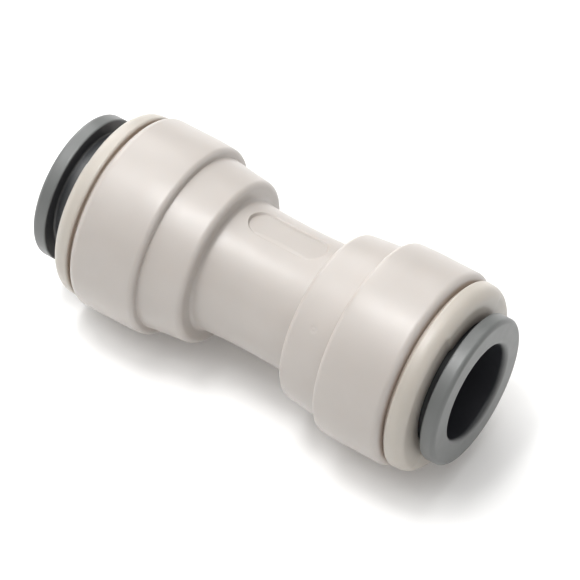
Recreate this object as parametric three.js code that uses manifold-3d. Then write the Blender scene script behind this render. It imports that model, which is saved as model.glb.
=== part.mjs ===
// Straight push-in coupling for 12 mm tube, two equal ends, lying on its side.
// Millimetres. The tube axis is X, +Z is up, and the origin is the middle of the body on the tube axis.
// Each end holds, from the middle outwards: an O-ring, a spacer washer, a collet whose slotted legs
// carry steel grip teeth, and a cap that is pressed into the body and wedges the collet's legs.
import * as THREE from 'three';
import { mergeVertices } from 'three/addons/utils/BufferGeometryUtils.js';
import Module from 'manifold-3d';

const wasm = await Module();
wasm.setup();

// ---- Driving dimensions ----
const SEGMENTS = 36;              // flats round every turned piece
const TUBE_RADIUS = 6.0;          // the tube that the coupling takes
const SLIP = 0.1;                 // slip between the tube and what guides it
const FIT_GAP = 0.1;              // gap left between pieces that touch

const NECK_RADIUS = 8.3;
const NECK_HALF = 6.9;            // middle of the body to the end of the neck
const NECK_FILLET = 0.5;
const SHOULDER_RADIUS = 10.65;    // second section, at its neck end
const SHOULDER_ROOT_RADIUS = 11.28; // second section, where it meets the barrel
const SHOULDER_END = 12.7;        // middle of the body to the barrel
const SHOULDER_ROUND = 0.8;
const BARREL_RADIUS = 12.5;
const BARREL_ROUND = 0.7;
const MOUTH_FACE = 21.9;          // middle of the body to its open end
const MOUTH_ROUND = 0.35;

const WATERWAY_RADIUS = 4.75;
const TUBE_STOP = 5.0;            // middle of the body to the shoulder that stops the tube
const GLAND_START = 8.6;
const GLAND_END = 11.5;
const GLAND_RADIUS = 8.15;
const CHAMBER_RADIUS = 9.4;       // room for the washer and the collet's legs
const CAP_SEAT = 16.0;            // middle of the body to the ledge under the cap
const CAP_BORE_RADIUS = 10.75;    // bore of the body that takes the cap's spigot

const PAD_LENGTH = 10.4;          // blank oval marking pad on the neck
const PAD_WIDTH = 4.4;
const PAD_FLOOR = 7.85;           // tube axis to the pad's flat floor
const PAD_TURN = -13.5;           // degrees from straight up, about the tube axis

const CAP_RADIUS = 12.0;
const CAP_BACK = 22.35;           // leaves the thin groove between body and cap
const CAP_FACE = 24.85;
const CAP_ROUND = 0.95;
const CAP_EDGE = 0.25;
const CAP_THROAT_RADIUS = 7.95;   // narrow end of the wedge cone
const CAP_THROAT_START = 22.0;
const CAP_CONE_RADIUS = 9.2;      // wide end of the wedge cone
const SPIGOT_END = CAP_SEAT + 0.4;
const RECESS_DEPTH = 0.4;         // the cap's face is cut back over two opposite sectors
const RECESS_ANGLE = 113;
const RECESS_TURN = { right: 69.5, left: 34.5 };

const FLANGE_RADIUS = 9.35;
const FLANGE_THICKNESS = 1.92;
const FLANGE_ROUND = 0.45;
const FLANGE_BACK = 25.66;        // with the collet pushed nearly in
const COLLET_OUT = 1.8;           // how much further out the left collet stands
const SLEEVE_RADIUS = 7.6;
const COLLET_MOUTH_ROUND = 0.6;
const HEAD_START = 19.0;
const HEAD_END = 15.5;
const LEG_TIP = 14.6;
const LEG_TIP_RADIUS = 8.3;
const HEAD_CLEARANCE = 0.15;      // between the legs' heads and the cone with the collet out
const LEGS = 8;
const SLOT_WIDTH = 1.0;
const SLOT_END = 21.5;

const TOOTH_WIDTH = 2.8;
const TOOTH_THICKNESS = 0.35;
const TOOTH_PATH = [[18.3, 7.3], [17.3, 7.3], [16.1, 5.8]]; // held end, bend, biting edge
const TOOTH_GAP = 0.08;           // round the tooth in its pocket

const ORING_SECTION = 2.36;
const ORING_OUTER_RADIUS = 8.06;
const ORING_SIDES = 8;
const WASHER_START = GLAND_END + 0.15;
const WASHER_THICKNESS = 1.1;
const WASHER_BORE_RADIUS = 6.2;

// ---- Materials ----
const plastic = (color, roughness) => new THREE.MeshStandardMaterial({ color, roughness, metalness: 0 });
const bodyPlastic = () => plastic(0xd6cfc9, 0.45);
const capPlastic = () => plastic(0xd9d2c4, 0.45);
const colletPlastic = () => plastic(0x8b8f8c, 0.4);
const washerPlastic = () => plastic(0xf0efe9, 0.5);
const rubber = () => plastic(0x1d1d1e, 0.7);
const steel = () => new THREE.MeshStandardMaterial({ color: 0xb9bcbf, roughness: 0.3, metalness: 1 });

// ---- Outlines: lists of [along the axis, from the axis] ----

// Points on a quarter round about [x, r], from one angle to another in degrees, 0 being along +X.
function quarter([x, r], radius, from, to, steps = 2) {
  const points = [];
  for (let i = 0; i <= steps; i++) {
    const angle = THREE.MathUtils.degToRad(from + ((to - from) * i) / steps);
    points.push([x + radius * Math.cos(angle), r + radius * Math.sin(angle)]);
  }
  return points;
}

const mirrored = (outline) => outline.map(([x, r]) => [-x, r]).reverse();

// ---- Solids ----

// A closed geometry with welded corners, and its faces turned outwards.
function welded(geometry) {
  const bare = geometry.clone();
  bare.deleteAttribute('normal');
  bare.deleteAttribute('uv');
  const merged = mergeVertices(bare, 1e-4);
  const index = merged.index.array;
  const corner = [0, 1, 2].map(() => new THREE.Vector3());
  const faces = [];
  let volume = 0;
  for (let i = 0; i < index.length; i += 3) {
    const [a, b, c] = [index[i], index[i + 1], index[i + 2]];
    if (a === b || b === c || c === a) continue;
    faces.push(a, b, c);
    corner.forEach((point, k) => point.fromBufferAttribute(merged.attributes.position, index[i + k]));
    volume += corner[0].dot(corner[1].cross(corner[2]));
  }
  merged.setIndex(volume < 0 ? faces.reverse() : faces);
  return merged;
}

// A closed outline turned about X.
function turned(outline) {
  const points = [...outline, outline[0]].map(([x, r]) => new THREE.Vector2(r, x));
  const lathe = new THREE.LatheGeometry(points, SEGMENTS, Math.PI / SEGMENTS);
  return welded(lathe.rotateZ(-Math.PI / 2));
}

// A straight-sided shape, extruded along Z.
function prism(points, depth) {
  const shape = new THREE.Shape(points.map(([x, y]) => new THREE.Vector2(x, y)));
  return new THREE.ExtrudeGeometry(shape, { depth, bevelEnabled: false });
}

// Copies of a geometry, evenly spread round the tube axis.
function spread(geometry, count, first = 0) {
  const copy = (_, i) => geometry.clone().rotateX(first + (2 * Math.PI * i) / count);
  return Array.from({ length: count }, copy);
}

function toSolid(geometry) {
  const closed = welded(geometry);
  return new wasm.Manifold(new wasm.Mesh({
    numProp: 3,
    vertProperties: new Float32Array(closed.attributes.position.array),
    triVerts: new Uint32Array(closed.index.array),
  }));
}

function cutAway(geometry, cutters) {
  let solid = toSolid(geometry);
  for (const cutter of cutters) solid = solid.subtract(toSolid(cutter));
  const mesh = solid.getMesh();
  const result = new THREE.BufferGeometry();
  result.setAttribute('position', new THREE.BufferAttribute(mesh.vertProperties, 3));
  result.setIndex(new THREE.BufferAttribute(mesh.triVerts, 1));
  return result;
}

// ---- Body ----
function bodyGeometry() {
  const outside = [
    ...quarter([NECK_HALF - NECK_FILLET, NECK_RADIUS + NECK_FILLET], NECK_FILLET, -90, 0),
    ...quarter([NECK_HALF + SHOULDER_ROUND, SHOULDER_RADIUS - SHOULDER_ROUND], SHOULDER_ROUND, 180, 90),
    [SHOULDER_END, SHOULDER_ROOT_RADIUS],
    ...quarter([SHOULDER_END + BARREL_ROUND, BARREL_RADIUS - BARREL_ROUND], BARREL_ROUND, 180, 90),
    ...quarter([MOUTH_FACE - MOUTH_ROUND, BARREL_RADIUS - MOUTH_ROUND], MOUTH_ROUND, 90, 0),
  ];
  const inside = [
    [MOUTH_FACE, CAP_BORE_RADIUS],
    [CAP_SEAT, CAP_BORE_RADIUS],
    [CAP_SEAT, CHAMBER_RADIUS],
    [GLAND_END, CHAMBER_RADIUS],
    [GLAND_END, GLAND_RADIUS],
    [GLAND_START, GLAND_RADIUS],
    [GLAND_START, TUBE_RADIUS + SLIP],
    [TUBE_STOP, TUBE_RADIUS + SLIP],
    [TUBE_STOP, WATERWAY_RADIUS],
  ];
  return turned([...outside, ...inside, ...mirrored(inside), ...mirrored(outside)]);
}

// The cutter of the oval pad: a racetrack prism standing on the pad's flat floor.
function padCutter() {
  const end = PAD_WIDTH / 2;
  const straight = PAD_LENGTH / 2 - end;
  const oval = new THREE.Shape();
  oval.absarc(straight, 0, end, -Math.PI / 2, Math.PI / 2);
  oval.absarc(-straight, 0, end, Math.PI / 2, (3 * Math.PI) / 2);
  const settings = { depth: NECK_RADIUS, bevelEnabled: false, curveSegments: 8 };
  return new THREE.ExtrudeGeometry(oval, settings)
    .translate(0, 0, PAD_FLOOR)
    .rotateX(THREE.MathUtils.degToRad(PAD_TURN));
}

// ---- Cap: a spigot with a wedge cone inside, and a ring whose face is cut back over two sectors ----
function capGeometry() {
  const spigotRadius = CAP_BORE_RADIUS - FIT_GAP;
  const ring = turned([
    [CAP_BACK, spigotRadius],
    ...quarter([CAP_BACK + CAP_EDGE, CAP_RADIUS - CAP_EDGE], CAP_EDGE, 180, 90, 1),
    ...quarter([CAP_FACE - CAP_ROUND, CAP_RADIUS - CAP_ROUND], CAP_ROUND, 90, 0),
    [CAP_FACE, CAP_THROAT_RADIUS + CAP_EDGE],
    [CAP_FACE - CAP_EDGE, CAP_THROAT_RADIUS],
    [CAP_THROAT_START, CAP_THROAT_RADIUS],
    [SPIGOT_END, CAP_CONE_RADIUS],
    [SPIGOT_END, spigotRadius],
  ]);
  const reach = 2 * CAP_RADIUS;
  const side = reach * Math.tan(THREE.MathUtils.degToRad(RECESS_ANGLE / 2));
  const sector = prism([[0, 0], [-reach, side], [-reach, -side]], 2 * RECESS_DEPTH)
    .rotateY(Math.PI / 2)
    .translate(CAP_FACE - RECESS_DEPTH, 0, 0);
  return cutAway(ring, spread(sector, 2));
}

// ---- Collet: a flange and a sleeve that ends in slotted legs with wedge-shaped heads ----

// How far the cap's wedge cone stands from the axis.
function coneRadius(x) {
  const slope = (CAP_CONE_RADIUS - CAP_THROAT_RADIUS) / (CAP_THROAT_START - SPIGOT_END);
  return CAP_THROAT_RADIUS + slope * (CAP_THROAT_START - x);
}

// A bent strip of even thickness along TOOTH_PATH, as wide as width along Y.
function toothStrip(thickness, width, overrun) {
  const [held, bend, edge] = TOOTH_PATH.map(([x, z]) => new THREE.Vector2(x, z));
  const back = held.clone().sub(bend).normalize();
  const bite = edge.clone().sub(bend).normalize();
  const side = (along) => new THREE.Vector2(-along.y, along.x).multiplyScalar(thickness / 2);
  const heldEnd = held.clone().addScaledVector(back, overrun);
  const edgeEnd = edge.clone().addScaledVector(bite, overrun);
  const backSide = side(back);
  const biteSide = side(bite);
  const miter = backSide.clone().sub(biteSide);
  miter.multiplyScalar((thickness * thickness) / 2 / miter.lengthSq());
  const corners = [
    heldEnd.clone().add(backSide),
    bend.clone().add(miter),
    edgeEnd.clone().sub(biteSide),
    edgeEnd.clone().add(biteSide),
    bend.clone().sub(miter),
    heldEnd.clone().sub(backSide),
  ];
  return prism(corners.map((corner) => corner.toArray()), width)
    .rotateX(Math.PI / 2)
    .translate(0, width / 2, 0);
}

function colletGeometry() {
  const bore = TUBE_RADIUS + SLIP;
  const face = FLANGE_BACK + FLANGE_THICKNESS;
  const rim = FLANGE_RADIUS - FLANGE_ROUND;
  const headRadius = (x) => coneRadius(x + COLLET_OUT) - HEAD_CLEARANCE;
  const sleeve = turned([
    [HEAD_START, SLEEVE_RADIUS],
    [FLANGE_BACK, SLEEVE_RADIUS],
    ...quarter([FLANGE_BACK + FLANGE_ROUND, rim], FLANGE_ROUND, 180, 90),
    ...quarter([face - FLANGE_ROUND, rim], FLANGE_ROUND, 90, 0),
    ...quarter([face - COLLET_MOUTH_ROUND, bore + COLLET_MOUTH_ROUND], COLLET_MOUTH_ROUND, 0, -90),
    [LEG_TIP, bore],
    [LEG_TIP, LEG_TIP_RADIUS],
    [HEAD_END, headRadius(HEAD_END)],
    [HEAD_START, headRadius(HEAD_START)],
  ]);
  const slotStart = LEG_TIP - 1;
  const slot = new THREE.BoxGeometry(SLOT_END - slotStart, SLOT_WIDTH, CAP_RADIUS)
    .translate((SLOT_END + slotStart) / 2, 0, CAP_RADIUS / 2);
  const pocket = toothStrip(TOOTH_THICKNESS + 2 * TOOTH_GAP, TOOTH_WIDTH + 2 * TOOTH_GAP, TOOTH_GAP);
  const legTurn = Math.PI / LEGS;
  return cutAway(sleeve, [...spread(slot, LEGS), ...spread(pocket, LEGS, legTurn)]);
}

// ---- O-ring and washer ----
function oringGeometry() {
  const radius = ORING_SECTION / 2;
  const centre = [(GLAND_START + GLAND_END) / 2, ORING_OUTER_RADIUS - radius];
  return turned(quarter(centre, radius, 0, 360, ORING_SIDES).slice(0, ORING_SIDES));
}

function washerGeometry() {
  const outside = CHAMBER_RADIUS - FIT_GAP;
  const end = WASHER_START + WASHER_THICKNESS;
  return turned([
    [WASHER_START, WASHER_BORE_RADIUS],
    [WASHER_START, outside],
    [end, outside],
    [end, WASHER_BORE_RADIUS],
  ]);
}

// ---- Assembly ----
function named(name, geometry, material) {
  const mesh = new THREE.Mesh(geometry, material);
  mesh.name = name;
  return mesh;
}

const ends = {
  cap: capGeometry(),
  collet: colletGeometry(),
  tooth: toothStrip(TOOTH_THICKNESS, TOOTH_WIDTH, 0),
  oring: oringGeometry(),
  washer: washerGeometry(),
};

// One end's pieces, drawn for the +X end.
function makeEnd(side, colletShift, capTurn) {
  const end = new THREE.Group();
  const cap = named(`${side}_cap`, ends.cap, capPlastic());
  cap.rotation.x = THREE.MathUtils.degToRad(capTurn);
  end.add(cap);
  end.add(named(`${side}_oring`, ends.oring, rubber()));
  end.add(named(`${side}_washer`, ends.washer, washerPlastic()));
  const gripper = new THREE.Group();
  gripper.position.x = colletShift;
  gripper.add(named(`${side}_collet`, ends.collet, colletPlastic()));
  for (let i = 0; i < LEGS; i++) {
    const tooth = named(`${side}_tooth_${i + 1}`, ends.tooth, steel());
    tooth.rotation.x = ((i + 0.5) * 2 * Math.PI) / LEGS;
    gripper.add(tooth);
  }
  end.add(gripper);
  return end;
}

const coupling = new THREE.Group();
coupling.add(named('body', cutAway(bodyGeometry(), [padCutter()]), bodyPlastic()));
coupling.add(makeEnd('right', 0, RECESS_TURN.right));
const leftEnd = makeEnd('left', COLLET_OUT, RECESS_TURN.left);
leftEnd.rotation.z = Math.PI;
coupling.add(leftEnd);

export default coupling;
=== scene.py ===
"""Looks of a straight push-in coupling for 12 mm tube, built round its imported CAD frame.

Sizes are in millimetres and MM turns them into Blender's metres. The tube axis is X and +Z is up.
Angles round the axis are in degrees: 0 is straight up and 90 is the camera's side, -Y.
Each end's pieces are made for the +X end; the left end's are then turned half a turn about Z.
"""
import math

import bmesh
import bpy
from mathutils import Matrix, Vector


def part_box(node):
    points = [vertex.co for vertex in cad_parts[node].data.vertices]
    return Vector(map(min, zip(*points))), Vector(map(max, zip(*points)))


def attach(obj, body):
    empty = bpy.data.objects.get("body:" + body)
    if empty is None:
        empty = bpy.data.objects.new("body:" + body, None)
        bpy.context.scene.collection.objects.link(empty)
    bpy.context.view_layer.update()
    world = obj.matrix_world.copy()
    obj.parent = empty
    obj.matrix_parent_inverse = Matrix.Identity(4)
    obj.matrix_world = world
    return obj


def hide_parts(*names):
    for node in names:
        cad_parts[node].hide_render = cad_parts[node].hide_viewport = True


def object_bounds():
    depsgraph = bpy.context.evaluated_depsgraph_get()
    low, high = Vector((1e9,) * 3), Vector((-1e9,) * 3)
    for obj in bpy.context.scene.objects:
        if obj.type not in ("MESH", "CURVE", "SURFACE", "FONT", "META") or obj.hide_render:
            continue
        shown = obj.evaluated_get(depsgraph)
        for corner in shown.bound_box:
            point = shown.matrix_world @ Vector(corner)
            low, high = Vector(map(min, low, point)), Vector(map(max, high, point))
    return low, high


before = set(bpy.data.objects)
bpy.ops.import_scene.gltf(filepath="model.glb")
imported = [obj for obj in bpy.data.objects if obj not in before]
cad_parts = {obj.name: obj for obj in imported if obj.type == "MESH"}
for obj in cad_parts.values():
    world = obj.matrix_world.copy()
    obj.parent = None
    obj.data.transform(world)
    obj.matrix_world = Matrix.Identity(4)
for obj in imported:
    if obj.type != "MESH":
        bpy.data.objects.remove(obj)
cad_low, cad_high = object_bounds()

MM = 0.001

# ---- Mesh steps ----
MAKE_CRISP_OVER = 40       # degrees between faces from which a turned piece's edge is drawn crisp
CUT_CRISP_OVER = 30        # the same for a cut piece
WIDE_ROUND = 0.3           # a round from this radius up
WIDE_ROUND_STEP = 11.25    # has a point every so many degrees
ROUND_STEP = 22.5          # and a smaller round has this
TURN_STEP = 2.0            # degrees from one mesh line to the next, round the axis
END_TURN_STEP = 1.5        # the same on caps and collets
FINE_TURN_STEP = 0.5       # and round the pad and the gate's scar


# ---- Places read from the frame ----
def reach(node):
    """How far a node spans along the axis, and how high it stands over the axis, in millimetres."""
    low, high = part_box(node)
    return low.x / MM, high.x / MM, high.z / MM


_, MOUTH_FACE, body_high = reach("body")
SPIGOT_END, CAP_FACE, _ = reach("right_cap")
LEG_TIP, COLLET_FACE, _ = reach("right_collet")
WASHER_START, WASHER_END, _ = reach("right_washer")
ORING_START, ORING_END, _ = reach("right_oring")
COLLET_OUT = -reach("left_collet")[0] - COLLET_FACE  # how much further out the left collet stands
FLOOR_LEVEL = cad_low.z / MM
BARREL_RADIUS = body_high - 0.002  # keeps the finer rings of the visual barrels inside the frame's box

# ---- Body ----
NECK_RADIUS = 8.2          # at the middle of its slight waist
NECK_FLARE = 0.25          # added to it towards the shoulders
NECK_HALF = 6.9
NECK_FILLET = 0.5
SHOULDER_RADIUS = 10.6
SHOULDER_ROOT_RADIUS = 11.25
SHOULDER_ROUND = 0.8
SHOULDER_END = 12.7
BARREL_ROUND = 0.7
BARREL_EASE = 0.16         # a barrel draws in this much towards its step
BARREL_EASE_START = 1.0    # where this ease's mesh lines start, past the step's round
BARREL_EASE_LENGTH = 3.5
BARREL_MESH_STEP = 0.25
MOUTH_ROUND = 0.95
STEP_FILLET = 0.12
OUTER_SKIN = 7.9           # only points further from the axis than this are shaped by the pad and the scar
WATERWAY_RADIUS = 4.75
SOCKET_RADIUS = 6.1        # guides the tube's end
TUBE_STOP = 5.0
GLAND_START = 8.6
GLAND_END = 11.5
GLAND_RADIUS = 8.15
CHAMBER_RADIUS = 9.4
CAP_SEAT = 16.0
CAP_BORE_RADIUS = 10.75
INNER_ROUND = 0.15

PAD_LENGTH = 10.4
PAD_WIDTH = 4.4
PAD_FLOOR = 7.85           # tube axis to the pad's flat floor
PAD_TURN = -13.5
PAD_EDGE = 0.13            # width of the soft step round the pad
PAD_LEAST_DEPTH = 0.22
PAD_SECTOR = 17.5          # degrees to each side of the pad's middle that hold it, with a finer mesh
PAD_MESH_STEP = 0.2
PAD_END_MESH_STEP = 0.06

GATE_PLACE = 10.1          # a small moulding gate's scar on the right shoulder
GATE_TURN = 46.0
GATE_RADIUS = 0.42
GATE_DEPTH = 0.05
GATE_NUB = 0.7             # how much of that depth the nub in the scar's middle fills
GATE_SECTOR = 4            # degrees to each side of the scar that have a finer mesh

# ---- Cap ----
CAP_BACK = 22.35
CAP_COLLAR_RADIUS = 11.2    # the floor of the groove between cap and body
CAP_COLLAR_GAP = 0.03
CAP_COLLAR_ROUND = 0.1
CAP_RADIUS = 12.0
CAP_DRAFT = 0.16
CAP_ROUND = 1.6
CAP_BACK_ROUND = 0.35
CAP_EDGE = 0.25
CAP_THROAT_RADIUS = 7.95
CAP_THROAT_START = 22.0
CAP_CONE_RADIUS = 9.2
SPIGOT_RADIUS = 10.65
RECESS_DEPTH = {"right": 0.2, "left": 0.35}
RECESS_ANGLE = 113.0
RECESS_EDGE = 3.5          # degrees taken by the soft step at each end of a recess
RECESS_LIP = 0.1           # softens the edge where a recess runs out through the rim
RECESS_SECTOR = 3          # degrees to each side of a recess's end that have a finer mesh
RECESS_TURN_STEP = 0.25
RECESS_TURN = {"right": 69.5, "left": 34.5}

# ---- Collet and its teeth ----
COLLET_BORE = 6.1
FLANGE_THICKNESS = 1.92
FLANGE_RADIUS = 9.43
FLANGE_ROUND = 0.55
FLANGE_BACK_ROUND = 0.2
COLLET_MOUTH_ROUND = 0.65
SLEEVE_RADIUS = 7.6
SLEEVE_FILLET = 0.3
HEAD_START = 19.0
HEAD_END = 15.5
HEAD_CLEARANCE = 0.15
HEAD_ROUND = 0.3
LEG_ROUND = 0.1
LEG_TIP_RADIUS = 8.3
LEG_TIP_ROUND = 0.15
LEGS = 8
SLOT_WIDTH = 1.0
SLOT_END = 21.5
SLOT_OVERRUN = 1.0         # the slots' cutters start this far past the legs' tips
SLOT_FLOOR = 2.0           # and this far from the axis
TOOTH_WIDTH = 2.8
TOOTH_THICKNESS = 0.35
TOOTH_GAP = 0.08
TOOTH_HELD = (18.3, 7.3)
TOOTH_BEND = (17.3, 7.3)
TOOTH_EDGE = (16.1, 5.8)
TOOTH_BEND_ROUND = 0.35
TOOTH_RIM = 0.05           # width of the rounding along a tooth's edges
TOOTH_RIM_OVER = 50        # degrees between faces from which an edge has it
TOOTH_COLUMNS = 13         # mesh points across a tooth
BITE_STEPS = 6             # mesh steps from its bend to its biting edge

# ---- Seals ----
ORING_CENTRE_RADIUS = 6.88
ORING_FLASH = 0.03         # how far its mould's flash line stands proud
ORING_FLASH_HALF = 0.12    # half that line's width, as a part of the section's radius
ORING_SIDES = 48
WASHER_BORE = 6.2
WASHER_RADIUS = 9.3
WASHER_CHAMFER = 0.15

# ---- Camera ----
VIEW_AZIMUTH = 34.30
VIEW_ELEVATION = 50.40
VIEW_DISTANCE = 400.0
VIEW_LENS = 210.8
AIM_RIGHT = 1.24           # from the origin to the point the camera looks at, across the picture
AIM_DOWN = 0.08            # and down it


# ---- Outlines: lists of (along the axis, from the axis) ----
def rounded(corners, closed=True):
    """Points along corners given as (x, r, radius of the corner's round)."""
    count = len(corners)
    points = []
    for i, (x, r, radius) in enumerate(corners):
        corner = Vector((x, r))
        if radius == 0 or (not closed and i in (0, count - 1)):
            points.append(corner)
            continue
        before = (Vector(corners[i - 1][:2]) - corner).normalized()
        after = (Vector(corners[(i + 1) % count][:2]) - corner).normalized()
        opening = before.angle(after)
        centre = corner + (before + after).normalized() * radius / math.sin(opening / 2)
        start = corner + before * radius / math.tan(opening / 2) - centre
        swing = math.pi - opening
        if start.x * before.y - start.y * before.x > 0:
            swing = -swing
        turn_step = WIDE_ROUND_STEP if radius >= WIDE_ROUND else ROUND_STEP
        steps = max(3, math.ceil(abs(swing) / math.radians(turn_step)))
        for step in range(steps + 1):
            angle = swing * step / steps
            turned = (start.x * math.cos(angle) - start.y * math.sin(angle),
                      start.x * math.sin(angle) + start.y * math.cos(angle))
            points.append(centre + Vector(turned))
    return points


def held(points, hold=0.12, longest=2.5):
    """The closed outline with points near the ends of each long straight, so that shading stays flat."""
    result = []
    for i, start in enumerate(points):
        end = points[(i + 1) % len(points)]
        run = end - start
        result.append(start)
        if run.length <= 3 * hold:
            continue
        result.append(start + run.normalized() * hold)
        pieces = math.ceil(run.length / longest)
        result.extend(start + run * step / pieces for step in range(1, pieces))
        result.append(end - run.normalized() * hold)
    return result


def spaced(start, end, step):
    """Numbers from start up to end, about step apart."""
    count = math.ceil((end - start) / step)
    return [start + (end - start) * i / count for i in range(count)]


def mirrored(corners):
    return [(-x, *rest) for x, *rest in reversed(corners)]


def turn_steps(coarse, spots=()):
    """Angles once round the axis, closer together in each spot given as (angle, spread, step)."""
    angles = []
    angle = 0.0
    while angle < 360 - coarse / 3:
        angles.append(angle)
        near = [fine for spot, spread, fine in spots if abs(offset(angle, spot)) < spread]
        angle += min(near, default=coarse)
    return angles


def offset(angle, centre):
    """Degrees from centre to angle, the shorter way round."""
    return (angle - centre + 180) % 360 - 180


def smooth(value):
    """0 below 0, 1 above 1, and a soft S between."""
    value = min(max(value, 0.0), 1.0)
    return value * value * (3 - 2 * value)


# ---- Meshes ----
def at(x, r, angle):
    turn = math.radians(angle)
    return Vector((x, -r * math.sin(turn), r * math.cos(turn)))


def make_object(name, mesh):
    piece = bpy.data.objects.new(name, mesh)
    bpy.context.scene.collection.objects.link(piece)
    return piece


def finished(bm, name):
    """An object from a bmesh in millimetres, smooth but for its sharp edges, with its faces outwards."""
    bmesh.ops.recalc_face_normals(bm, faces=bm.faces)
    bm.transform(Matrix.Scale(MM, 4))
    mesh = bpy.data.meshes.new(name)
    bm.to_mesh(mesh)
    bm.free()
    mesh.polygons.foreach_set("use_smooth", [True] * len(mesh.polygons))
    mesh.set_sharp_from_angle(angle=math.radians(MAKE_CRISP_OVER))
    return make_object(name, mesh)


def revolved(outline, angles, shape=None):
    """A bmesh of a closed outline turned about X. shape moves a point: (x, r, angle) to (x, r)."""
    bm = bmesh.new()
    rings = []
    for angle in angles:
        places = [shape(x, r, angle) if shape else (x, r) for x, r in outline]
        rings.append([bm.verts.new(at(x, r, angle)) for x, r in places])
    count = len(outline)
    for i, ring in enumerate(rings):
        following = rings[(i + 1) % len(rings)]
        for j in range(count):
            k = (j + 1) % count
            bm.faces.new((ring[j], ring[k], following[k], following[j]))
    return bm


def prism(bm, ends, turn):
    """Adds a straight-sided block to bm between its two ends, lists of points, turned about the axis."""
    turning = Matrix.Rotation(turn, 3, "X")
    near, far = [[bm.verts.new(turning @ point) for point in points] for points in ends]
    bm.faces.new(near)
    bm.faces.new(reversed(far))
    count = len(near)
    for i in range(count):
        k = (i + 1) % count
        bm.faces.new((near[k], near[i], far[i], far[k]))


def applied(piece):
    """Makes the result of a piece's modifiers its own mesh."""
    graph = bpy.context.evaluated_depsgraph_get()
    mesh = bpy.data.meshes.new_from_object(piece.evaluated_get(graph))
    piece.modifiers.clear()
    piece.data = mesh
    return piece


def cut(piece, cutter):
    boolean = piece.modifiers.new("cut", "BOOLEAN")
    boolean.operation = "DIFFERENCE"
    boolean.solver = "EXACT"
    boolean.object = cutter
    applied(piece)
    bpy.data.objects.remove(cutter)
    piece.data.set_sharp_from_angle(angle=math.radians(CUT_CRISP_OVER))
    return piece


# ---- Body ----
def neck_surface(x):
    return NECK_RADIUS + NECK_FLARE * (x / NECK_HALF) ** 2


def barrel_surface(from_step):
    return BARREL_RADIUS - BARREL_EASE * (1 - from_step / BARREL_EASE_LENGTH) ** 2


def body_shape(x, r, angle):
    """Sinks the oval pad into the neck and the gate's scar into the right shoulder."""
    if r < OUTER_SKIN:
        return x, r
    turned = offset(angle, PAD_TURN)
    if abs(x) < NECK_HALF - NECK_FILLET and abs(turned) < PAD_SECTOR:
        across = r * math.radians(turned)
        past = max(abs(x) - (PAD_LENGTH - PAD_WIDTH) / 2, 0)
        inside = PAD_WIDTH / 2 - math.hypot(past, across)
        floor = PAD_FLOOR / math.cos(math.radians(turned))
        r -= max(r - floor, PAD_LEAST_DEPTH) * smooth(inside / PAD_EDGE + 0.5)
    scar = math.hypot(x - GATE_PLACE, r * math.radians(offset(angle, GATE_TURN)))
    if scar < 2 * GATE_RADIUS:
        rim = smooth(1.5 - scar / GATE_RADIUS)
        nub = GATE_NUB * smooth(1.0 - scar / (0.5 * GATE_RADIUS))
        r -= GATE_DEPTH * (rim - nub)
    return x, r


def make_body():
    pad_bend = (PAD_LENGTH - PAD_WIDTH) / 2
    neck_stops = spaced(PAD_MESH_STEP, pad_bend, PAD_MESH_STEP)
    neck_stops += spaced(pad_bend, PAD_LENGTH / 2 + PAD_EDGE, PAD_END_MESH_STEP)
    neck = [(x, neck_surface(x), 0) for x in neck_stops]
    scar = [GATE_PLACE + GATE_RADIUS * (i / 4) for i in range(-6, 7)]
    ease = spaced(BARREL_EASE_START, BARREL_EASE_LENGTH, BARREL_MESH_STEP)
    slope = (SHOULDER_ROOT_RADIUS - SHOULDER_RADIUS) / (SHOULDER_END - NECK_HALF)
    outside = [
        *neck,
        (NECK_HALF, neck_surface(NECK_HALF), NECK_FILLET),
        (NECK_HALF, SHOULDER_RADIUS, SHOULDER_ROUND),
        *[(x, SHOULDER_RADIUS + slope * (x - NECK_HALF), 0) for x in scar],
        (SHOULDER_END, SHOULDER_ROOT_RADIUS, STEP_FILLET),
        (SHOULDER_END, BARREL_RADIUS - BARREL_EASE, BARREL_ROUND),
        *[(SHOULDER_END + x, barrel_surface(x), 0) for x in ease],
        (MOUTH_FACE, BARREL_RADIUS, MOUTH_ROUND),
    ]
    inside = [
        (MOUTH_FACE, CAP_BORE_RADIUS, INNER_ROUND),
        (CAP_SEAT, CAP_BORE_RADIUS, INNER_ROUND),
        (CAP_SEAT, CHAMBER_RADIUS, INNER_ROUND),
        (GLAND_END, CHAMBER_RADIUS, INNER_ROUND),
        (GLAND_END, GLAND_RADIUS, INNER_ROUND),
        (GLAND_START, GLAND_RADIUS, INNER_ROUND),
        (GLAND_START, SOCKET_RADIUS, INNER_ROUND),
        (TUBE_STOP, SOCKET_RADIUS, INNER_ROUND),
        (TUBE_STOP, WATERWAY_RADIUS, INNER_ROUND),
    ]
    middle = (0, neck_surface(0), 0)
    corners = [middle, *outside, *inside, *mirrored(inside), *mirrored(outside)]
    spots = [(PAD_TURN, PAD_SECTOR, FINE_TURN_STEP), (GATE_TURN, GATE_SECTOR, FINE_TURN_STEP)]
    angles = turn_steps(TURN_STEP, spots)
    return finished(revolved(held(rounded(corners)), angles, body_shape), "moulded_body")


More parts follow.
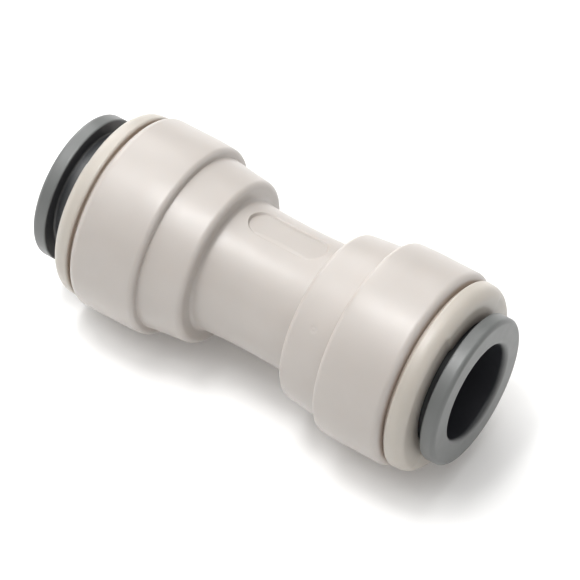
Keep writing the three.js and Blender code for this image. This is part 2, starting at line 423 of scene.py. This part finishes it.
# ---- Cap ----
def cap_shape(x, r, angle, full_depth):
    """Cuts the cap's face back over two opposite sectors, out through its rounded rim."""
    from_middle = abs(offset(2 * angle, 0)) / 2
    depth = full_depth * smooth((RECESS_ANGLE / 2 - from_middle) / RECESS_EDGE + 0.5)
    if r < CAP_THROAT_RADIUS + 2 * CAP_EDGE:
        return x - depth * smooth((x - CAP_BACK) / (CAP_FACE - CAP_EDGE - CAP_BACK)), r
    over = (x - CAP_FACE + depth) / RECESS_LIP
    if over > 1:
        x -= RECESS_LIP * over
    elif over > -1:
        x -= RECESS_LIP * (over + 1) ** 2 / 4
    return x, r


def make_cap(side):
    corners = [
        (MOUTH_FACE + CAP_COLLAR_GAP, SPIGOT_RADIUS, 0),
        (MOUTH_FACE + CAP_COLLAR_GAP, CAP_COLLAR_RADIUS, 0),
        (CAP_BACK, CAP_COLLAR_RADIUS, CAP_COLLAR_ROUND),
        (CAP_BACK, CAP_RADIUS, CAP_BACK_ROUND),
        (CAP_FACE, CAP_RADIUS - CAP_DRAFT, CAP_ROUND),
        (CAP_FACE, CAP_THROAT_RADIUS, CAP_EDGE),
        (CAP_THROAT_START, CAP_THROAT_RADIUS, CAP_EDGE),
        (SPIGOT_END, CAP_CONE_RADIUS, INNER_ROUND),
        (SPIGOT_END, SPIGOT_RADIUS, CAP_EDGE),
    ]
    half = RECESS_ANGLE / 2
    edges = [half, -half, 180 - half, 180 + half]
    angles = turn_steps(END_TURN_STEP, [(edge, RECESS_SECTOR, RECESS_TURN_STEP) for edge in edges])
    bm = revolved(held(rounded(corners)), angles, lambda *place: cap_shape(*place, RECESS_DEPTH[side]))
    bm.transform(Matrix.Rotation(math.radians(RECESS_TURN[side]), 4, "X"))
    return finished(bm, f"{side}_cap_ring")


# ---- Collet ----
def cone_radius(x):
    """How far the cap's wedge cone stands from the axis."""
    slope = (CAP_CONE_RADIUS - CAP_THROAT_RADIUS) / (CAP_THROAT_START - SPIGOT_END)
    return CAP_THROAT_RADIUS + slope * (CAP_THROAT_START - x)


def head_radius(x):
    return cone_radius(x + COLLET_OUT) - HEAD_CLEARANCE


def tooth_outline(extra):
    """The tooth's bent strip seen from its edge, with a gap of extra all round it."""
    thickness = TOOTH_THICKNESS / 2 + extra
    held_end, bend, edge = (Vector(point) for point in (TOOTH_HELD, TOOTH_BEND, TOOTH_EDGE))
    back = (held_end - bend).normalized()
    bite = (edge - bend).normalized()
    held_end = held_end + back * extra
    edge = edge + bite * extra
    side = Vector((-back.y, back.x)) * thickness
    bite_side = Vector((bite.y, -bite.x)) * thickness
    miter = (side + bite_side) / (1 + side.dot(bite_side) / thickness ** 2)
    return [held_end + side, bend + miter, edge + bite_side, edge - bite_side, bend - miter, held_end - side]


def collet_cutter():
    """The slots between the legs, round at their roots, and the pockets of the teeth."""
    half_slot = SLOT_WIDTH / 2
    start = LEG_TIP - SLOT_OVERRUN
    slot = [(start, half_slot), (start, -half_slot)]
    for step in range(-4, 5):
        angle = math.pi / 2 * step / 4
        slot.append((SLOT_END - half_slot + half_slot * math.cos(angle), half_slot * math.sin(angle)))
    pocket = tooth_outline(TOOTH_GAP)
    half_pocket = TOOTH_WIDTH / 2 + TOOTH_GAP
    bm = bmesh.new()
    for leg in range(LEGS):
        slot_ends = [[Vector((x, y, z)) for x, y in slot] for z in (SLOT_FLOOR, CAP_RADIUS)]
        prism(bm, slot_ends, 2 * math.pi * leg / LEGS)
        pocket_ends = [[Vector((x, y, z)) for x, z in pocket] for y in (-half_pocket, half_pocket)]
        prism(bm, pocket_ends, 2 * math.pi * (leg + 0.5) / LEGS)
    return finished(bm, "collet_cutter")


def make_collet(side):
    flange_back = COLLET_FACE - FLANGE_THICKNESS
    corners = [
        (HEAD_START, SLEEVE_RADIUS, LEG_ROUND),
        (flange_back, SLEEVE_RADIUS, SLEEVE_FILLET),
        (flange_back, FLANGE_RADIUS, FLANGE_BACK_ROUND),
        (COLLET_FACE, FLANGE_RADIUS, FLANGE_ROUND),
        (COLLET_FACE, COLLET_BORE, COLLET_MOUTH_ROUND),
        (LEG_TIP, COLLET_BORE, LEG_ROUND),
        (LEG_TIP, LEG_TIP_RADIUS, LEG_TIP_ROUND),
        (HEAD_END, head_radius(HEAD_END), HEAD_ROUND),
        (HEAD_START, head_radius(HEAD_START), LEG_ROUND),
    ]
    bm = revolved(held(rounded(corners)), turn_steps(END_TURN_STEP))
    return cut(finished(bm, f"{side}_release_collet"), collet_cutter())


# ---- Teeth ----
def make_tooth(side, number):
    """A bent steel strip whose biting edge is hollowed to the tube's roundness."""
    path = rounded([(*TOOTH_HELD, 0), (*TOOTH_BEND, TOOTH_BEND_ROUND), (*TOOTH_EDGE, 0)], closed=False)
    bend_end = path[-2]
    lean = (TOOTH_EDGE[0] - bend_end.x) / (TOOTH_EDGE[1] - bend_end.y)
    bm = bmesh.new()
    grid = []
    for column in range(TOOTH_COLUMNS):
        y = TOOTH_WIDTH * (column / (TOOTH_COLUMNS - 1) - 0.5)
        edge_z = math.sqrt(TOOTH_EDGE[1] ** 2 - y * y)
        edge = Vector((bend_end.x + lean * (edge_z - bend_end.y), edge_z))
        line = path[:-1] + [bend_end.lerp(edge, step / BITE_STEPS) for step in range(1, BITE_STEPS + 1)]
        grid.append([bm.verts.new((p.x, y, p.y)) for p in line])
    for near, far in zip(grid, grid[1:]):
        for i in range(len(near) - 1):
            bm.faces.new((near[i], near[i + 1], far[i + 1], far[i]))
    bm.transform(Matrix.Rotation(math.radians(360 * (number - 0.5) / LEGS), 4, "X"))
    tooth = finished(bm, f"{side}_grip_tooth_{number}")
    plate = tooth.modifiers.new("plate", "SOLIDIFY")
    plate.thickness = TOOTH_THICKNESS * MM
    plate.offset = 0
    plate.use_even_offset = True
    rim = tooth.modifiers.new("rim", "BEVEL")
    rim.width = TOOTH_RIM * MM
    rim.segments = 2
    rim.angle_limit = math.radians(TOOTH_RIM_OVER)
    return applied(tooth)


# ---- Seals ----
def make_oring(side):
    """A rubber ring with the faint flash line of its mould inside and outside."""
    centre = (ORING_START + ORING_END) / 2
    radius = (ORING_END - ORING_START) / 2
    outline = []
    for step in range(ORING_SIDES):
        angle = 2 * math.pi * step / ORING_SIDES
        flash = ORING_FLASH * max(0.0, 1 - abs(math.cos(angle)) / ORING_FLASH_HALF)
        outline.append((centre + radius * math.cos(angle),
                        ORING_CENTRE_RADIUS + (radius - ORING_FLASH + flash) * math.sin(angle)))
    return finished(revolved(outline, turn_steps(TURN_STEP)), f"{side}_seal_ring")


def make_washer(side):
    corners = [
        (WASHER_START, WASHER_BORE, WASHER_CHAMFER),
        (WASHER_START, WASHER_RADIUS, WASHER_CHAMFER),
        (WASHER_END, WASHER_RADIUS, WASHER_CHAMFER),
        (WASHER_END, WASHER_BORE, WASHER_CHAMFER),
    ]
    return finished(revolved(held(rounded(corners)), turn_steps(TURN_STEP)), f"{side}_spacer_ring")


# ---- Materials ----
class Shader:
    """A material with a Principled surface, and short ways to add nodes to it."""

    def __init__(self, name, **sockets):
        self.material = bpy.data.materials.new(name)
        self.material.use_nodes = True
        self.tree = self.material.node_tree
        self.surface = self.tree.nodes["Principled BSDF"]
        self.fill(self.surface, sockets)
        self.place = self.add("ShaderNodeTexCoord").outputs["Object"]

    def fill(self, node, sockets):
        for name, value in sockets.items():
            key = name if isinstance(name, int) else name.replace("_", " ")
            if isinstance(value, bpy.types.NodeSocket):
                self.tree.links.new(value, node.inputs[key])
            else:
                node.inputs[key].default_value = value

    def add(self, kind, sockets=None, **settings):
        node = self.tree.nodes.new(kind)
        for name, value in settings.items():
            setattr(node, name, value)
        self.fill(node, sockets or {})
        return node

    def noise(self, size, detail=2.0, stretch=(1, 1, 1), seed=0.0):
        """Noise whose features are about size millimetres across."""
        sockets = {"Vector": self.place, "Scale": stretch, "Location": (seed,) * 3}
        placed = self.add("ShaderNodeMapping", sockets)
        sockets = {"Vector": placed.outputs["Vector"], "Scale": 1 / (size * MM), "Detail": detail}
        return self.add("ShaderNodeTexNoise", sockets).outputs["Fac"]

    def spread(self, value, low, high, start=0.3, end=0.7):
        """Maps value from start..end to low..high. Most of a noise lies between 0.3 and 0.7."""
        sockets = {"Value": value, "From Min": start, "From Max": end, "To Min": low, "To Max": high}
        return self.add("ShaderNodeMapRange", sockets).outputs["Result"]

    def blend(self, share, one, other):
        node = self.add("ShaderNodeMix", {0: share, 6: one, 7: other}, data_type="RGBA")
        return node.outputs[2]

    def bump(self, height, depth, strength, under=None):
        sockets = {"Height": height, "Distance": depth * MM, "Strength": strength}
        if under:
            sockets["Normal"] = under
        return self.add("ShaderNodeBump", sockets).outputs["Normal"]

    def openness(self, width, own_shape_only):
        """1 where a surface is open, falling to 0 in gaps and bores up to about width millimetres wide."""
        sockets = {"Distance": width * MM}
        node = self.add("ShaderNodeAmbientOcclusion", sockets, samples=8, only_local=own_shape_only)
        return node.outputs["AO"]

    def with_painted_shade(self, tone, colour, tint, width, own_shape_only, closed, opened):
        """Paints shade into the tone: it goes over to colour times tint where openness falls from opened to
        closed.
        """
        share = self.spread(self.openness(width, own_shape_only), 0.0, 1.0, closed, opened)
        painted_shade_colour = (*(channel * part for channel, part in zip(colour, tint)), 1.0)
        return self.blend(share, painted_shade_colour, tone)

    def use(self, **sockets):
        self.fill(self.surface, sockets)
        return self.material


def shade(colour, factor):
    return (*(channel * factor for channel in colour), 1.0)


def moulded_plastic(name, colour, roughness, scatter, seed, painted_gap_shade):
    """Satin acetal: soft cloudy colour, painted shade in its gaps and bores, spark-eroded grain and slight
    moulding ripple.

    hollow gives the painted shade that darkens its colour in gaps and bores: see Shader.deepened.
    """
    skin = Shader(name, Subsurface_Weight=scatter, IOR=1.48)
    skin.surface.inputs["Subsurface Radius"].default_value = (1.0, 0.72, 0.55)
    skin.surface.inputs["Subsurface Scale"].default_value = 0.8 * MM
    cloud = skin.spread(skin.noise(6.0, seed=seed), 0.0, 1.0)
    tone = skin.blend(cloud, shade(colour, 0.975), shade(colour, 1.015))
    # painted shade: the colour darkens in gaps and bores as they close in
    tone = skin.with_painted_shade(tone, colour, *painted_gap_shade)
    dulled = skin.spread(skin.noise(1.6, detail=3.0, seed=seed + 5), roughness - 0.02, roughness + 0.03)
    ripple = skin.bump(skin.noise(3.2, detail=1.0, seed=seed + 7), depth=0.03, strength=0.35)
    grain = skin.bump(skin.noise(0.16, seed=seed + 9), depth=0.008, strength=0.5, under=ripple)
    return skin.use(Base_Color=tone, Roughness=dulled, Normal=grain)


def nitrile_rubber():
    skin = Shader("seal_rubber", IOR=1.5)
    bloom = skin.spread(skin.noise(1.5, detail=4.0), 0.0, 1.0)
    tone = skin.blend(bloom, (0.018, 0.018, 0.019, 1), (0.032, 0.032, 0.034, 1))
    dulled = skin.spread(skin.noise(0.8, detail=3.0, seed=2), 0.42, 0.6)
    grain = skin.bump(skin.noise(0.12), depth=0.006, strength=0.5)
    return skin.use(Base_Color=tone, Roughness=dulled, Normal=grain)


def stainless_strip():
    """Rolled spring strip, with its fine rolling lines along the tube."""
    skin = Shader("spring_steel", Metallic=1.0)
    lines = skin.noise(0.09, detail=3.0, stretch=(0.06, 1, 1))
    tone = skin.blend(skin.spread(lines, 0.0, 1.0), (0.50, 0.50, 0.50, 1), (0.66, 0.66, 0.65, 1))
    dulled = skin.spread(skin.noise(0.5, detail=3.0, seed=4), 0.24, 0.38)
    grain = skin.bump(lines, depth=0.004, strength=0.5)
    return skin.use(Base_Color=tone, Roughness=dulled, Normal=grain)


def pale_floor():
    skin = Shader("pale_floor", Roughness=0.6, Emission_Strength=0.08)
    skin.surface.inputs["Emission Color"].default_value = (1.0, 0.95, 0.91, 1.0)
    skin.surface.inputs["Specular IOR Level"].default_value = 0.2
    tone = skin.blend(skin.noise(40.0), (0.90, 0.90, 0.895, 1), (0.92, 0.92, 0.915, 1))
    grain = skin.bump(skin.noise(0.5, detail=3.0), depth=0.01, strength=0.1)
    return skin.use(Base_Color=tone, Normal=grain)


# ---- Putting it together ----
# Painted shade that darkens a plastic's colour in gaps: tint, the gaps' width in millimetres, whether only
# the piece's own shape counts, and the openness at which the tint is full and at which it is gone.
# painted warm brown shade in the grooves and step roots of the body, caps and spacer
WARM_PAINTED_SHADE = ((0.92, 0.78, 0.70), 1.0, False, 0.0, 0.85)
# painted near-black shade in the collet's bore and in the gap under its flange
DARK_PAINTED_SHADE = ((0.20, 0.20, 0.24), 14.0, True, 0.7, 0.92)

FINISHES = {
    "body_acetal": moulded_plastic("warm_white_acetal", (0.440, 0.407, 0.379), 0.34, 0.2, 0.0, WARM_PAINTED_SHADE),
    "cap_acetal": moulded_plastic("cream_acetal", (0.440, 0.407, 0.362), 0.36, 0.2, 20.0, WARM_PAINTED_SHADE),
    "collet_acetal": moulded_plastic("grey_acetal", (0.131, 0.136, 0.133), 0.38, 0.0, 40.0, DARK_PAINTED_SHADE),
    "washer_plastic": moulded_plastic("spacer_plastic", (0.74, 0.73, 0.69), 0.45, 0.2, 60.0, WARM_PAINTED_SHADE),
    "nitrile_rubber": nitrile_rubber(),
    "stainless_steel": stainless_strip(),
}


def settle(piece, body, finish, node):
    """Gives a piece its finish and its body, and hides the CAD node that it stands for."""
    piece.data.materials.clear()
    piece.data.materials.append(FINISHES[finish])
    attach(piece, body)
    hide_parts(node)


def place_end_piece(piece, side, shift=0.0):
    """Moves an end piece's mesh out along its end, and turns the left end's round."""
    piece.data.transform(Matrix.Translation((shift * MM, 0, 0)))
    if side == "left":
        piece.data.transform(Matrix.Rotation(math.pi, 4, "Z"))
    return piece


def make_end(side):
    shift = COLLET_OUT if side == "left" else 0.0
    settle(place_end_piece(make_cap(side), side), "coupling_body", "cap_acetal", f"{side}_cap")
    settle(place_end_piece(make_oring(side), side), "coupling_body", "nitrile_rubber", f"{side}_oring")
    settle(place_end_piece(make_washer(side), side), f"{side}_spacer", "washer_plastic", f"{side}_washer")
    gripper = f"{side}_gripper"
    settle(place_end_piece(make_collet(side), side, shift), gripper, "collet_acetal", f"{side}_collet")
    for number in range(1, LEGS + 1):
        tooth = place_end_piece(make_tooth(side, number), side, shift)
        settle(tooth, gripper, "stainless_steel", f"{side}_tooth_{number}")


settle(make_body(), "coupling_body", "body_acetal", "body")
for end in ("right", "left"):
    make_end(end)


# ---- Stage, light and camera ----
FLOOR_HALF = 3000
WORLD_STRENGTH = 0.2
VIEW_START = 10
VIEW_END = 20000

# Name, azimuth, elevation, distance, size along the tube and across it, and power in watts.
SOFTBOXES = [
    ("overhead", 0, 84, 900, 900, 900, 3.8),
    ("front", 325, 62, 900, 500, 500, 0.9),
    ("back", 225, 60, 900, 1000, 1000, 3.6),
    ("back_left", 235, 27, 900, 650, 650, 3.9),
    ("back_right", 120, 25, 900, 650, 650, 0.4),
    ("right", 65, 30, 900, 500, 500, 0.9),
    ("left", 290, 30, 900, 700, 700, 0.9),
    ("near_top", 285, 75, 290, 80, 80, 0.24),
    ("strip", 318, 75, 900, 90, 400, 1.5),
]


def make_floor():
    half = FLOOR_HALF * MM
    mesh = bpy.data.meshes.new("floor")
    corners = [(-half, -half, 0), (half, -half, 0), (half, half, 0), (-half, half, 0)]
    mesh.from_pydata(corners, [], [(0, 1, 2, 3)])
    floor = make_object("floor", mesh)
    floor.location.z = FLOOR_LEVEL * MM
    mesh.materials.append(pale_floor())


def make_softbox(name, azimuth, elevation, distance, along, across, power):
    """A lamp that faces the coupling, with its sides along the tube and across it.

    Azimuth 0 is on the -Y side, and 90 on the +X side.
    """
    turn = math.radians(azimuth)
    lift = math.radians(elevation)
    away = Vector((math.sin(turn) * math.cos(lift), -math.cos(turn) * math.cos(lift), math.sin(lift)))
    light = bpy.data.lights.new(name, "AREA")
    light.shape = "RECTANGLE"
    light.size = along * MM
    light.size_y = across * MM
    light.energy = power
    lamp = bpy.data.objects.new(name, light)
    lamp.location = away * distance * MM
    side = Vector((0, 1, 0)).cross(away).normalized()
    lamp.rotation_euler = Matrix((side, away.cross(side), away)).transposed().to_euler()
    bpy.context.scene.collection.objects.link(lamp)


def make_world(strength):
    world = bpy.data.worlds.new("studio")
    world.use_nodes = True
    background = world.node_tree.nodes["Background"]
    background.inputs["Color"].default_value = (1.0, 0.99, 0.98, 1.0)
    background.inputs["Strength"].default_value = strength
    bpy.context.scene.world = world


def make_camera():
    azimuth = math.radians(VIEW_AZIMUTH)
    elevation = math.radians(VIEW_ELEVATION)
    back = Vector((math.sin(azimuth) * math.cos(elevation),
                   -math.cos(azimuth) * math.cos(elevation),
                   math.sin(elevation)))
    facing = back.to_track_quat("Z", "Y")
    aim = facing @ Vector((AIM_RIGHT, -AIM_DOWN, 0)) * MM
    data = bpy.data.cameras.new("camera")
    data.lens = VIEW_LENS
    data.clip_start = VIEW_START * MM
    data.clip_end = VIEW_END * MM
    camera = bpy.data.objects.new("camera", data)
    camera.location = aim + back * VIEW_DISTANCE * MM
    camera.rotation_euler = facing.to_euler()
    bpy.context.scene.collection.objects.link(camera)
    bpy.context.scene.camera = camera


make_floor()
make_world(WORLD_STRENGTH)
for softbox in SOFTBOXES:
    make_softbox(*softbox)
make_camera()
bpy.context.scene.view_settings.view_transform = "Standard"
